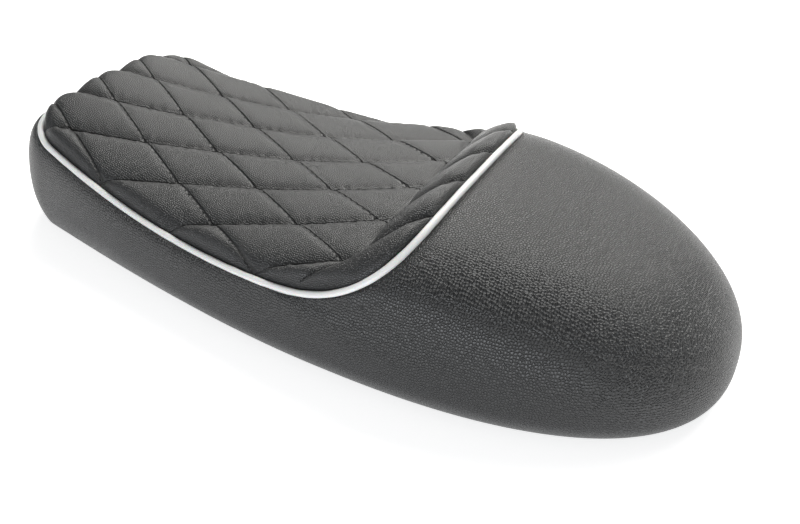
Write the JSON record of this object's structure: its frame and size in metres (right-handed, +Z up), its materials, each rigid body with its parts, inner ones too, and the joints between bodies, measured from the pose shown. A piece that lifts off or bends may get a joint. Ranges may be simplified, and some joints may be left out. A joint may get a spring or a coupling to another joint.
{
  "type": "motorcycle seat",
  "caption": "Low motorcycle seat with a diamond-quilted top, smooth black vinyl sides, a rounded rear hump and white piping along the seam.",
  "frame": {"origin": "middle of the seat's outline on the plane it rests on", "axes": "+X from the nose to the rear hump, +Y to the rider's right, +Z up"},
  "size_m": [0.56, 0.27, 0.1077],
  "materials": {
    "base_plastic": "fine moulded grain",
    "seat_foam": "open moulded foam",
    "quilt_vinyl": "pebbled vinyl, satin",
    "cover_vinyl": "pebbled vinyl, satin",
    "welt_vinyl": "smooth white vinyl",
    "staple_steel": "galvanised wire",
    "insert_steel": "zinc plated",
    "buffer_rubber": "matt moulded rubber"
  },
  "bodies": {
    "root": {"seat_base": "base_plastic", "foam_core": "seat_foam", "quilt_panel": "quilt_vinyl", "cover_skirt": "cover_vinyl", "piping": "welt_vinyl", "staples": "staple_steel", "tee_nuts": "insert_steel", "buffer_1": "buffer_rubber", "buffer_2": "buffer_rubber", "buffer_3": "buffer_rubber", "buffer_4": "buffer_rubber", "buffer_5": "buffer_rubber", "buffer_6": "buffer_rubber"}
  },
  "joints": []
}
